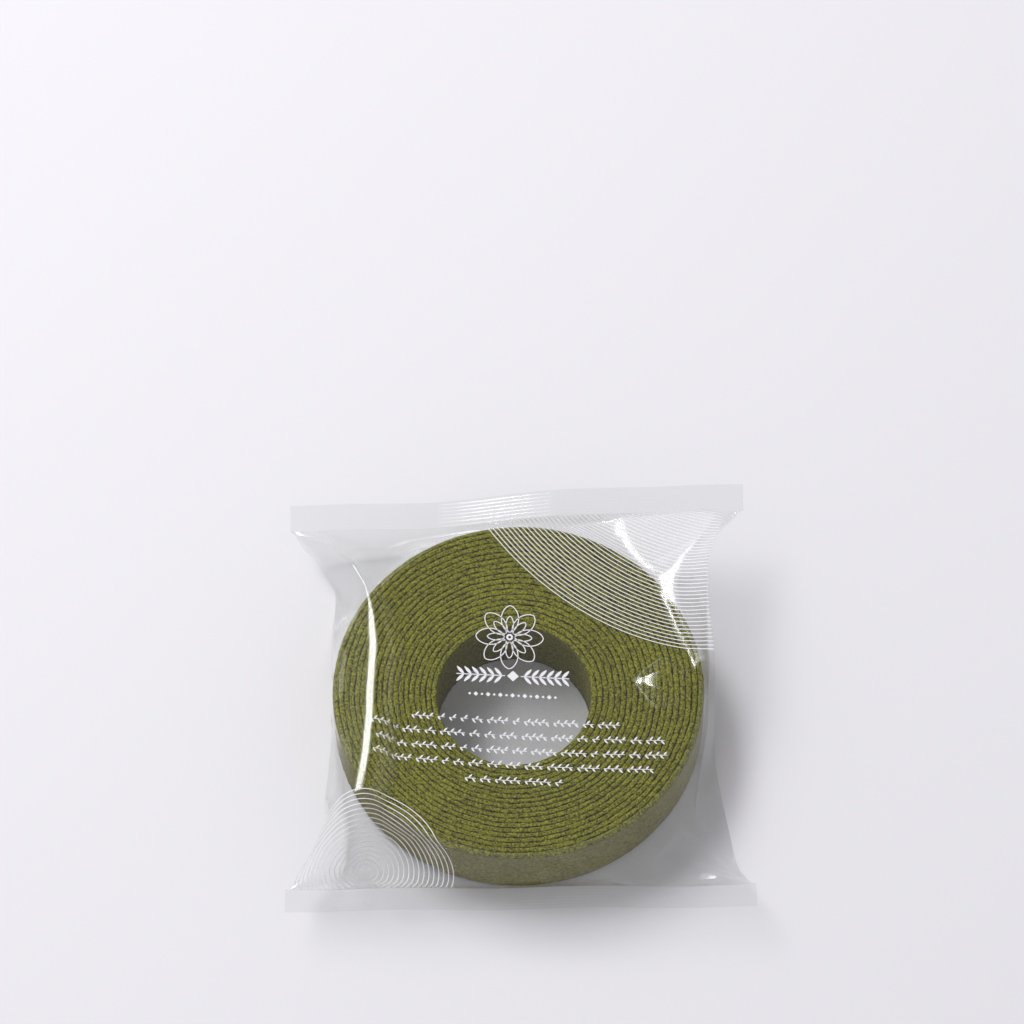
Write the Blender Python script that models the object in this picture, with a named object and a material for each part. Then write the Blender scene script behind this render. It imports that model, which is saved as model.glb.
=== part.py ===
"""A baumkuchen in its sealed clear bag, laid flat.

The bag is a pillow pack: a tube of film drawn over the ring cake, with a weld across the front and
one across the back. It is one closed solid of the bag's outer form. The film lies flat over the
ring's cut face and spans its hole, drops down the ring's side to the two side folds, and runs out to
four ears at the ends of the welds. A crease stands up along the left of the ring's face, and the film
climbs off the ring in the back right corner. Lengths are in millimetres until the mesh is made, +Z is
up, the origin is under the ring's middle, and -Y is the front.
"""

import math

import bmesh
import bpy

MM = 0.001

# The ring cake inside
RING_RADIUS = 75.0
RING_HEIGHT = 30.0
HOLE_RADIUS = 31.3
HOLE_CENTRE = (-1.8, -3.1)
FOOT_RADIUS = 73.4

# The film round it, with how far it sags over the hole
FILM_CLEARANCE = 0.7
TOP_Z = RING_HEIGHT + FILM_CLEARANCE
FOLD_Z = 15.35
HOLE_SAG = 0.5
FILM_PAIR = 0.8
EAR_REACH = 94.0
WELD_START = 81.5

# The side folds between the welds: y, how far out they stand, and their height
RIGHT_FOLD = ((-81.5, 94, 16), (-66, 87.2, 3), (-52, 84.8, 1.2), (-38, 82.2, 2.2), (-20, 80.2, 7.7),
              (-10, 80.4, 13), (-2, 80.2, 19.8), (5, 79.4, 27.4), (14, 78.5, 33.3), (24, 77.9, 36.2),
              (43, 77.5, 39.4), (53, 78.3, 39.1), (62, 80.8, 36.9), (70, 84.8, 33.7), (81.5, 94, 29))
LEFT_FOLD = ((-81.5, 94, 14.7), (-66, 85, 13.5), (-56, 79.6, 17.5), (-40, 78.1, 15.5), (-10, 76.9, 14),
             (20, 76.7, 12.8), (36, 76.8, 11), (53, 77, 10.5), (63, 78.8, 12.5), (71, 84.8, 12.5),
             (81.5, 94, 14.7))

# The crease on the left: y, x and height along its crest, the radius of the bends either side, the
# slope, soft start and width of its left flank, and the height in which it runs out into the film
LEFT_CREASE = ((-84, -84, 12), (-74, -76, 21), (-66, -70, 28), (-56, -64.6, 33.5), (-48, -62.1, 36),
               (-31, -59.1, 37.7), (-15, -57.7, 38), (10.5, -56.5, 38), (18, -56.2, 37.6),
               (37.5, -58.8, 35.8), (46, -61.5, 34), (57, -66.8, 31.5), (63, -71.2, 28.5), (84, -87, 14))
CREASE_RADIUS = 6.0
FLANK_SLOPE = 0.29
FLANK_START = 1.0
FLANK_WIDTH = 3.4
CREASE_BLEND = 5.0

# The back right corner: the line where the film starts to rise and the line where it gets steeper, as
# y and x, with the slope that each adds and the width of its bend
RISE_LINE = ((-5, 78), (15, 69.5), (31, 62.7), (45, 60), (50, 58.4), (52.3, 55.3), (57, 50.7),
             (64, 46.7), (72, 44), (90, 41))
STEEP_LINE = ((-5, 82), (15, 73.5), (31, 66.3), (38, 64.8), (45, 63.9), (50, 64.5), (53.9, 67.3),
              (64, 76.2), (90, 98))
RISE_SLOPE, STEEP_SLOPE = 0.16, 0.5
RISE_BEND, STEEP_BEND = 1.5, 1.6
RISE_STEP = 1.05
CORNER_START = (-2.5, 1.0)
CORNER_Y = (6, 16)
CORNER_BACK_Y = (76, 81)
CORNER_X = (77, 86)
FALL_START, FALL_SLOPE = 50, 0.15

# Between the ring's rim and the bag's edge the film hangs hollow, and the underside stays low and then
# turns up
HOLLOW = 4.0
HOLLOW_BEND = 0.6
HOLLOW_RADII = (82, 100)
UNDERSIDE_BEND = 2.2
TAUT_BEND = 0.95
TAUT_HEIGHTS = (17, 30)

# The welds: thin, ribbed, slightly wavy strips that tilt up, the back one rising to its right end
RIB_COUNT = 4
RIB_PITCH = 2.2
RIB_HEIGHT = 0.4
WELD_MARGIN = 1.0
WELD_TILT = math.radians(14)
WELD_WAVE = 0.8
WELD_WAVES = 2.5
WELD_PHASE = 0.7
CORNER_LIFT = 13.0
CORNER_LIFT_X = (-60, 50)

# How finely the skin is divided, and the angle from which an edge looks sharp
SIDE_STEPS = 34
END_STEPS = 30
HOLE_SHARES = (0.5, 1.0)
FACE_SHARES = (0.16, 0.32, 0.48, 0.6, 0.69, 0.77, 0.85, 0.93, 1.0)
SLOPE_SHARES = (0.08, 0.2, 0.34, 0.5, 0.66, 0.82)
SHARP_ANGLE = math.radians(35)


def clear_scene():
    """Removes every object that the file starts with."""
    for thing in list(bpy.data.objects):
        bpy.data.objects.remove(thing, do_unlink=True)


def mix(a, b, share):
    """The value that lies the given share of the way from a to b."""
    return a + (b - a) * share


def smooth_step(low, high, value):
    """0 below low and 1 above high, with a soft rise between them."""
    share = min(max((value - low) / (high - low), 0.0), 1.0)
    return share * share * (3 - 2 * share)


def straight_through(stations, y):
    """The values beside y on straight lines between stations that start with their y."""
    for low, high in zip(stations, stations[1:]):
        if y <= high[0]:
            share = max((y - low[0]) / (high[0] - low[0]), 0.0)
            return [mix(a, b, share) for a, b in zip(low[1:], high[1:])]
    return list(stations[-1][1:])


def smooth_through(stations, y):
    """The values beside y on a smooth curve through stations that start with their y."""
    ends = [stations[0], *stations, stations[-1]]
    for i in range(1, len(ends) - 2):
        before, low, high, after = ends[i - 1:i + 3]
        if y <= high[0] or i == len(ends) - 3:
            break
    span = high[0] - low[0]
    t = min(max((y - low[0]) / span, 0.0), 1.0)
    values = []
    for p, a, b, q in zip(before[1:], low[1:], high[1:], after[1:]):
        leave = span * (b - p) / (high[0] - before[0])
        arrive = span * (q - a) / (after[0] - low[0])
        values.append(a + t * leave + t * t * (3 * (b - a) - 2 * leave - arrive)
                      + t ** 3 * (2 * (a - b) + leave + arrive))
    return values


def weld_height(x, y):
    """The height of a weld, with its slow wave and the back one's rise to the right."""
    wave = WELD_WAVE * math.sin(WELD_WAVES * math.pi * x / EAR_REACH + math.copysign(WELD_PHASE, y))
    return FOLD_Z + wave + (CORNER_LIFT * smooth_step(*CORNER_LIFT_X, x) if y > 0 else 0.0)


def edge_line():
    """The bag's edge anticlockwise, as (x, y, height): right fold, back weld, left fold, front weld."""
    side = [mix(-WELD_START, WELD_START, step / SIDE_STEPS) for step in range(SIDE_STEPS)]
    end = [mix(EAR_REACH, -EAR_REACH, step / END_STEPS) for step in range(END_STEPS)]
    points = []
    for y in side:
        reach, height = smooth_through(RIGHT_FOLD, y)
        points.append((reach, y, height))
    points += [(x, WELD_START, weld_height(x, WELD_START)) for x in end]
    for y in side:
        reach, height = smooth_through(LEFT_FOLD, -y)
        points.append((-reach, -y, height))
    points += [(-x, -WELD_START, weld_height(-x, -WELD_START)) for x in end]
    return points


def crease_height(x, y):
    """The height of the left crease's crest, with its bends and its flank, beside a place."""
    crest_x, crest_z = straight_through(LEFT_CREASE, y)
    aside = x - crest_x
    bend = max(aside, -aside - FLANK_WIDTH, 0.0) ** 2 / (2 * CREASE_RADIUS)
    flank = FLANK_SLOPE * (math.hypot(aside, FLANK_START) - FLANK_START) if aside < 0 else 0.0
    return crest_z - bend - flank


def past_line(x, y, line, bend):
    """How far a place lies to the right of a line, rounded off to 0 on its left, and the same unrounded."""
    aside = (x - straight_through(line, y)[0]) / bend
    return bend * (math.log1p(math.exp(-abs(aside))) + max(aside, 0.0)), aside


def corner_height(x, y):
    """The height of the film that climbs in the back right corner, and how far that form counts."""
    rise, aside = past_line(x, y, RISE_LINE, RISE_BEND)
    steep, _ = past_line(x, y, STEEP_LINE, STEEP_BEND)
    step = RISE_STEP * (1 + math.tanh(aside / 2)) / 2
    fall = FALL_SLOPE * max(y - FALL_START, 0.0)
    height = TOP_Z + RISE_SLOPE * rise + STEEP_SLOPE * steep + step - fall
    hold = smooth_step(*CORNER_START, aside) * smooth_step(*CORNER_Y, y)
    return height, hold * (1 - smooth_step(*CORNER_X, x)) * (1 - smooth_step(*CORNER_BACK_Y, y))


def rounded_max(a, b, blend):
    """The larger value, with the meeting of the two rounded over the given height."""
    near = max(blend - abs(a - b), 0.0) / blend
    return max(a, b) + near * near * blend / 4


def film_height(x, y, plain):
    """The upper film's height: the plain form, with the raised corner and the crease on it."""
    height, hold = corner_height(x, y)
    return rounded_max(mix(plain, height, hold), crease_height(x, y), CREASE_BLEND)


def upper_slope(edge, rim, share):
    """A point of the upper film between the ring's rim (share 0) and the bag's edge (share 1)."""
    x, y = mix(rim[0], edge[0], share), mix(rim[1], edge[1], share)
    far = smooth_step(*HOLLOW_RADII, math.hypot(*edge[:2]))
    fallen = share ** mix(1.0, HOLLOW_BEND, far)
    plain = mix(rim[2], edge[2] + FILM_PAIR / 2, fallen) - HOLLOW * far * math.sin(math.pi * share)
    return (x, y, film_height(x, y, plain))


def lower_slope(edge, foot, share):
    """A point of the lower film between the ring's foot (share 0) and the bag's edge (share 1)."""
    bend = mix(UNDERSIDE_BEND, TAUT_BEND, smooth_step(*TAUT_HEIGHTS, edge[2]))
    height = (edge[2] - FILM_PAIR / 2) * share ** bend
    return (mix(foot[0], edge[0], share), mix(foot[1], edge[1], share), height)


def skin_rings(edge):
    """Rings of points from the middle of the ring's hole, out to the bag's edge, and in underneath."""
    angles = [math.atan2(y, x) for x, y, _ in edge]
    spokes = [(math.cos(angle), math.sin(angle)) for angle in angles]
    rings = []
    for share in HOLE_SHARES:
        radius = HOLE_RADIUS * share
        z = TOP_Z - HOLE_SAG * (1 - share ** 2)
        rings.append([(HOLE_CENTRE[0] + radius * c, HOLE_CENTRE[1] + radius * s, z) for c, s in spokes])
    for share in FACE_SHARES:
        radius = mix(HOLE_RADIUS, RING_RADIUS, share)
        plan = [(mix(HOLE_CENTRE[0], 0, share) + radius * c, mix(HOLE_CENTRE[1], 0, share) + radius * s)
                for c, s in spokes]
        rings.append([(x, y, film_height(x, y, TOP_Z)) for x, y in plan])
    rims = [(RING_RADIUS * c, RING_RADIUS * s, TOP_Z) for c, s in spokes]
    for share in SLOPE_SHARES:
        rings.append([upper_slope(place, rim, share) for place, rim in zip(edge, rims)])
    rings.append([(x, y, z + FILM_PAIR / 2) for x, y, z in edge])
    rings.append([(x, y, z - FILM_PAIR / 2) for x, y, z in edge])
    feet = [(FOOT_RADIUS * c, FOOT_RADIUS * s, 0.0) for c, s in spokes]
    for share in reversed(SLOPE_SHARES):
        rings.append([lower_slope(place, foot, share) for place, foot in zip(edge, feet)])
    rings.append(feet)
    return rings


def weld_profile():
    """A weld's section: pairs of distance out from the pillow and height of its ribs."""
    profile = []
    for rib in range(RIB_COUNT):
        start = WELD_MARGIN + rib * RIB_PITCH
        profile += [(start, 0.0), (start + RIB_PITCH / 2, RIB_HEIGHT)]
    end = WELD_MARGIN + RIB_COUNT * RIB_PITCH
    return profile + [(end, 0.0), (end + WELD_MARGIN, 0.0)]


def new_vertex(bm, point):
    """A vertex at a place given in millimetres."""
    return bm.verts.new([value * MM for value in point])


def add_weld(bm, uppers, lowers):
    """Grows a weld outward from the edge points of one end, and closes it round."""
    facing = math.copysign(1, uppers[0].co.y)
    rows = [(uppers, lowers)]
    for out, rise in weld_profile():
        step = (0, facing * out * math.cos(WELD_TILT), out * math.sin(WELD_TILT) + rise)
        rows.append([[bm.verts.new([vert.co[i] + step[i] * MM for i in range(3)]) for vert in line]
                     for line in (uppers, lowers)])
    for (top, low), (next_top, next_low) in zip(rows, rows[1:]):
        for i in range(len(top) - 1):
            bm.faces.new((top[i], next_top[i], next_top[i + 1], top[i + 1]))
            bm.faces.new((low[i], low[i + 1], next_low[i + 1], next_low[i]))
        bm.faces.new((top[0], low[0], next_low[0], next_top[0]))
        bm.faces.new((top[-1], next_top[-1], next_low[-1], low[-1]))
    last_top, last_low = rows[-1]
    for i in range(len(last_top) - 1):
        bm.faces.new((last_top[i], last_low[i], last_low[i + 1], last_top[i + 1]))


def make_bag():
    """The whole bag as one closed mesh: a skin of rings, its flat underside, and the two welds."""
    bm = bmesh.new()
    edge = edge_line()
    count = len(edge)
    pole = new_vertex(bm, (*HOLE_CENTRE, TOP_Z - HOLE_SAG))
    rows = [[new_vertex(bm, point) for point in ring] for ring in skin_rings(edge)]
    upper_edge = len(HOLE_SHARES) + len(FACE_SHARES) + len(SLOPE_SHARES)
    for i in range(count):
        bm.faces.new((pole, rows[0][i], rows[0][(i + 1) % count]))
    for level, (inner, outer) in enumerate(zip(rows, rows[1:])):
        for i in range(count):
            j = (i + 1) % count
            on_side = i % (count // 2) < SIDE_STEPS
            if level != upper_edge or on_side:
                bm.faces.new((inner[i], outer[i], outer[j], inner[j]))
    bm.faces.new(reversed(rows[-1]))
    for start in (SIDE_STEPS, SIDE_STEPS + count // 2):
        ends = [i % count for i in range(start, start + END_STEPS + 1)]
        add_weld(bm, [rows[upper_edge][i] for i in ends], [rows[upper_edge + 1][i] for i in ends])
    bmesh.ops.recalc_face_normals(bm, faces=bm.faces)
    bmesh.ops.triangulate(bm, faces=[face for face in bm.faces if len(face.verts) == 4])
    mesh = bpy.data.meshes.new("clear_bag")
    bm.to_mesh(mesh)
    bm.free()
    mesh.shade_smooth()
    mesh.set_sharp_from_angle(angle=SHARP_ANGLE)
    bag = bpy.data.objects.new("clear_bag", mesh)
    bpy.context.scene.collection.objects.link(bag)
    return bag


def film_material():
    """Clear film with a green matcha cake under it."""
    material = bpy.data.materials.new("film_over_matcha_cake")
    material.use_nodes = True
    shader = material.node_tree.nodes["Principled BSDF"]
    shader.inputs["Base Color"].default_value = (0.14, 0.145, 0.035, 1)
    shader.inputs["Roughness"].default_value = 0.25
    shader.inputs["Metallic"].default_value = 0.0
    return material


clear_scene()
make_bag().data.materials.append(film_material())
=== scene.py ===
"""Looks of the baumkuchen in its clear bag: the film, the ring cake inside it and the print on it.

Lengths are in millimetres until a mesh, a light or the camera is made. The ring's middle is the
origin, -Y is the front, and +Z is up.
"""

import math

import bpy
import numpy as np
from mathutils import Euler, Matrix, Quaternion, Vector, noise


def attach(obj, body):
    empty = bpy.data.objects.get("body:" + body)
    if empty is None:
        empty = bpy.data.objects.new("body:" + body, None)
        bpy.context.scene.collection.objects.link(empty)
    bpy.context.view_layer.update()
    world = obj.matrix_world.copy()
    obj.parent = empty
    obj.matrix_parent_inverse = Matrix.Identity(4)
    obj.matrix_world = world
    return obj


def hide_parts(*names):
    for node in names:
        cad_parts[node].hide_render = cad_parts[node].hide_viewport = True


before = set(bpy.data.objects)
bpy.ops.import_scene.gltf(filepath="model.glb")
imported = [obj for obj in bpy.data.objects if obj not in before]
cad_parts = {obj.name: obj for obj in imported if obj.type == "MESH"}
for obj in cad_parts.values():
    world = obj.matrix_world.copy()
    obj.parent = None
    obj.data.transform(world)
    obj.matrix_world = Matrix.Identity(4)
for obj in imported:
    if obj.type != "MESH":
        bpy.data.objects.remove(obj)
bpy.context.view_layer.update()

MM = 0.001
NODE = "clear_bag"

# The ring cake. Each layer of its cut face has points at these shares of the layer's thickness.
RING_RADIUS = 75.0
RING_HEIGHT = 30.0
HOLE_RADIUS = 31.3
HOLE_CENTRE = (-1.8, -3.1)
LAYERS = 19
LAYER_STEPS = (0, 0.09, 0.28, 0.5, 0.72, 0.91)
CAKE_SPOKES = 690
WALL_STEPS = 14
CREVICE_DEPTH = 0.7
ROPE_ROUNDING = 0.35
CRUMB_RELIEF = 0.3
HOLE_EDGE_SINK = 0.5
RIM_ROUNDING = 2.65
FOOT_INSET = 1.4
WALL_BULGE = 0.3
CAKE_LIFT = 0.35

# Noise that roughens the ring, as the strength and the length of its bumps: the layers' slow and quick
# wander, the rim's wander, the crumb's puffs and its streaks round the ring, the seams' long and short
# breaks, and the relief of the wall
SLOW_WANDER = (0.35, 11.0)
QUICK_WANDER = (0.28, 3.2)
RIM_WANDER = (0.35, 30.0)
PUFFS = (0.5, 1.1)
STREAKS = (0.6, 0.9)
LONG_BREAKS = (0.5, 4.0)
SHORT_BREAKS = (0.5, 1.6)
WALL_RELIEF = (0.2, 2.0)
SEAM_STRENGTH = 0.72
SEAM_STRENGTH_RANGE = (0.05, 1.2)
NOISE_SHIFT = (17.3, 5.1, 9.7)

# Streaks vary round the ring at this share of the rate at which they vary across it
STREAK_SHARE = 0.4

# The bag, as a flat tube before the cake went in, and its welds
HALF_WIDTH = 94.0
TUBE_LENGTH = 184.8
WELD_Y = 81.5
WELD_WIDTH = 11.0
WELD_TILT = math.radians(14)
WELD_WAVE = 0.8
WELD_WAVES = 2.5
WELD_PHASE = 0.7
WELD_STEP = 0.5
CRIMP_HEIGHT = 0.09
CRIMP_PITCH = 1.5
CORNER_LIFT = 13.0
CORNER_LIFT_X = (-60, 50)
FOLD_Z = 15.35

# How the film is settled: the first grid's step, the height of the first shape, its bumps, and then for
# each grid, twice as fine as the one before, the number of steps, the film's weight and its stiffness
COARSE_STEP = 4.0
FIRST_TOP = 30.75
FIRST_BUMPS = 0.8
SETTLING = ((220, 0.03, 0.02), (150, 0.02, 0.03), (50, 0.01, 0.04))
IRONING = 20
EDGE_PULL, DIAGONAL_PULL = 0.5, 0.35

# Where the film lies: its gap to the cake and its bend over the rim, its sag over the hole, its least
# height, the least gap between its two sides, and how it clings to the cake's face from close by
TOUCH = 0.35
RIM_ROUND = 3.0
HOLE_SAG = 0.5
FLOOR_GAP = 0.12
SIDE_GAP = 0.5
CLING = 0.25
CLING_REACH = 1.2
CLING_FROM_X = -50.0
FACE_Z = RING_HEIGHT + CAKE_LIFT + TOUCH

# A crease that holds the film up off the cake on the left: y, x and height along its crest, the slope,
# soft start and width of its left flank, and the radius of the bends either side
LEFT_CREASE = ((-84, -84, 12), (-74, -76, 21), (-66, -70, 28), (-56, -64.6, 33.5), (-48, -62.1, 36),
               (-39, -60.4, 37.2), (-31, -59.1, 37.7), (-15, -57.7, 38), (-2, -57.4, 38), (10.5, -56.5, 38),
               (18, -56.2, 37.6), (29, -57.3, 36.8), (37.5, -58.8, 35.8), (46, -61.5, 34), (57, -66.8, 31.5),
               (63, -71.2, 28.5), (84, -87, 14))
CREASE_RADIUS = 6.0
FLANK_SLOPE = 0.29
FLANK_START = 1.0
FLANK_WIDTH = 3.4
LOWER_FLANK_SLOPE = 0.66
LOWER_FLANK_RADIUS = 73.0
CREASE_SHARPENS_Y = (20, 50)
CREASE_SHARPENING = 0.85

# The back right corner, where the film climbs off the cake: the line where it starts to rise and the
# line where it gets steeper, as y and x, with the slope that each adds and the width of its bend
RISE_LINE = ((-5, 78), (15, 69.5), (23, 65.5), (31, 62.7), (38, 61), (45, 60), (50, 58.2), (52.3, 55),
             (57, 50), (64, 45.3), (72, 43), (80, 41.9), (90, 41))
STEEP_LINE = ((-5, 82), (15, 73.5), (23, 69.5), (31, 66.3), (38, 64.8), (45, 63.9), (50, 64.5),
              (53.9, 67.3), (60.6, 73.1), (64, 76.2), (90, 98))
RISE_SLOPE, STEEP_SLOPE = 0.16, 0.5
RISE_BEND, STEEP_BEND = 1.5, 1.6
RISE_BEND_BACK = 0.8
RISE_SHARPENS_Y = (54, 80)
RISE_STEP = 1.05
CORNER_HOLD = 0.6
CORNER_START = (-2.5, 1.0)
CORNER_Y = (6, 16)
CORNER_BACK_Y = (76, 81)
CORNER_X = (77, 86)
FALL_START, FALL_SLOPE = 50, 0.15

# A low swelling of the film on the right: its tip, the way it points and its half angle, the share of
# that angle from which it falls away, its steepness from the tip, and how far it climbs and reaches
SWELL_TIP = (46.4, 2.6)
SWELL_WAY = math.radians(-7)
SWELL_HALF_ANGLE = math.radians(58)
SWELL_SIDE = 0.25
SWELL_SLOPE = 0.3
SWELL_CLIMB = (5.5, 14)
SWELL_REACH = 27.0

# Print, in places on the flat film. Arcs have a centre, an outer radius, a pitch, a count, and the
# angles that they run between.
PRINT_LIFT = 0.07
ARC_WIDTH = 0.36
ARC_STEP = 0.9
BACK_ARCS = ((97.5, 149), 131.0, 1.62, 70, (170, 300))
FRONT_ARCS = ((-62, -81.5), 35.3, 2.0, 17, (-60, 240))
ORNAMENT_TURN = math.radians(-2.3)
ORNAMENT_LINE = 0.4

# The rosette, with the reach and half width of its long and short petals, and its eye's radius and line
ROSETTE_CENTRE = (-3.3, 25.4)
PETALS = 8
PETAL_START = 2.2
PETAL_SIZES = ((14.0, 3.6), (9.24, 1.5))
EYE_RADIUS = 1.0
EYE_LINE = 0.8

# The garland and its diamond, and the beads under it. Leaves have a least width and what they add to it
# in the middle, and the diamond and the beads have a half length and a width.
GARLAND_MIDDLE = (-1.6, 8.2)
GARLAND_STEM = 3.2
GARLAND_START = 4.6
GARLAND_LEAVES = 6
GARLAND_PITCH = 3.1
GARLAND_LEAF = (3.0, 3.3)
GARLAND_LEAF_WIDTH = (0.3, 1.0)
DIAMOND = (2.4, 4.6)
BEADS = 15
BEAD_PITCH = 2.5
BEADS_BELOW = 8.6
SMALL_BEAD = (0.6, 1.1)
BIG_BEAD = (0.95, 1.9)
SPOT_TIP = 0.1

# The rows of twigs, each as its y, its left end and its right end
TWIG_ROWS = ((-11.7, -42, 43), (-18.2, -60.5, 63), (-24.7, -58, 60.5), (-31.1, -59, 57),
             (-37.8, -19.7, 19.3))
TWIG_LEAVES = (2, 8)
TWIG_STEM = 0.3
TWIG_GAP = 1.7
LEAF_PITCH = 1.45
LEAF_SIZE = (1.35, 1.55)
LEAF_WIDTH = (0.12, 0.62)
LEAF_VARIES = (0.85, 1.15)

# The film, whose two faces together reflect this share of light that meets them head on, and the ink.
# A grain is the scale, detail and roughness of a noise, and a bump is its strength and its depth in
# metres.
FILM_GLOSS = 0.077
FILM_ROUGHNESS = 0.075
FILM_TINT = (0.955, 0.96, 0.96, 1)
CRINKLE_GRAIN = (90.0, 3.0, 0.55)
FILM_BUMP = (0.025, 0.001)
GLOSS_COLOUR = (0.95, 0.95, 0.96, 1)
GLOSS_METALLIC = 0.9
INK_COLOUR = (0.84, 0.83, 0.86, 1)

# The cake's colours, as stops of ramps from dark to light, and the colour laid in its seams, partly their
# browner bake and partly painted shade in the crevice, and in its pores, which is painted shade
CRUMB_COLOURS = ((0.4, (0.075, 0.066, 0.01, 1)), (0.46, (0.135, 0.134, 0.011, 1)),
                 (0.52, (0.205, 0.208, 0.015, 1)), (0.6, (0.32, 0.328, 0.028, 1)))
SKIN_COLOURS = ((0.37, (0.096, 0.084, 0.02, 1)), (0.61, (0.222, 0.21, 0.048, 1)))
PATCH_SHADES = ((0.3, (0.92, 0.92, 0.9, 1)), (0.7, (1.08, 1.08, 1.08, 1)))
# Painted shade, together with the seams' own browner bake, for the crevices and the pores.
CREVICE_BAKE_AND_SHADE_COLOUR = (0.022, 0.012, 0.008, 1)

# The cake's grains, its bump, and how much its puffs, its streaks and its fine grain count in its tone
FINE_GRAIN = (1250.0, 2.0, 0.6)
CLUMP_GRAIN = (700.0, 2.0, 0.55)
PATCH_GRAIN = (38.0, 2.0, 0.5)
STREAK_GRAIN = (1300.0, 3.0, 0.65)
CRUMB_BUMP = (0.7, 0.0006)
# The puffs' share of the tone is a painted highlight: the crumb is coloured lighter where its relief stands
# higher.
PUFF_HIGHLIGHT_TONE, STREAK_TONE, FINE_TONE = 0.14, 0.3, 0.56

# The seams between layers, as shares of a layer's thickness: how far their line wanders, and their half
# width. Then how dark seams get, by their browner bake and by painted shade, the fine grain's level below
# which there are pores of painted shade, and how fast those get dark.
SEAM_WANDER = 0.36
SEAM_HALF_WIDTH = 0.14
SEAM_BAKE_AND_SHADE_STRENGTH = 1.6
PORES_BELOW = 0.42
PORE_SHADE_STRENGTH = 6.0

# The studio. The sky's colours run from the first stop to the second, which lies where flat film
# mirrors the sky to the camera.
FLOOR_SIZE = 8000.0
FLOOR_COLOUR = (0.83, 0.82, 0.85, 1)
SKY_COLOURS = ((0.45, (0.64, 0.634, 0.657, 1)), (0.93, (0.25, 0.25, 0.26, 1)))

# The key light, a soft box that dims towards its edges, as nested boxes: name, width, length, power.
# Its azimuth is counted from the back to the left, and its long side leans over to the left, seen from
# the cake.
KEY_BOXES = (("key_core", 700, 1450, 16), ("key", 900, 1700, 19), ("key_edge", 1150, 1950, 18),
             ("key_halo", 1900, 2400, 20))
KEY_AZIMUTH = math.radians(45)
KEY_ELEVATION = math.radians(48)
KEY_LEAN = math.radians(45)
KEY_DISTANCE = 3000
KEY_SPACING = 40

# Camera, solved from the photograph of 1024 pixels
PHOTO_SIZE = 1024
PHOTO_FOCAL = 4644
SENSOR = 36.0
CAMERA_ELEVATION = math.radians(61.27)
CAMERA_DISTANCE = 1890.0
CAMERA_ROLL = math.radians(-0.67)
CAMERA_AIM = (-1.7, 67.5, 55.1)


def smooth_step(low, high, value):
    """0 below low and 1 above high, with a soft rise between them."""
    share = np.clip((value - low) / (high - low), 0, 1)
    return share * share * (3 - 2 * share)


# Film


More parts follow.
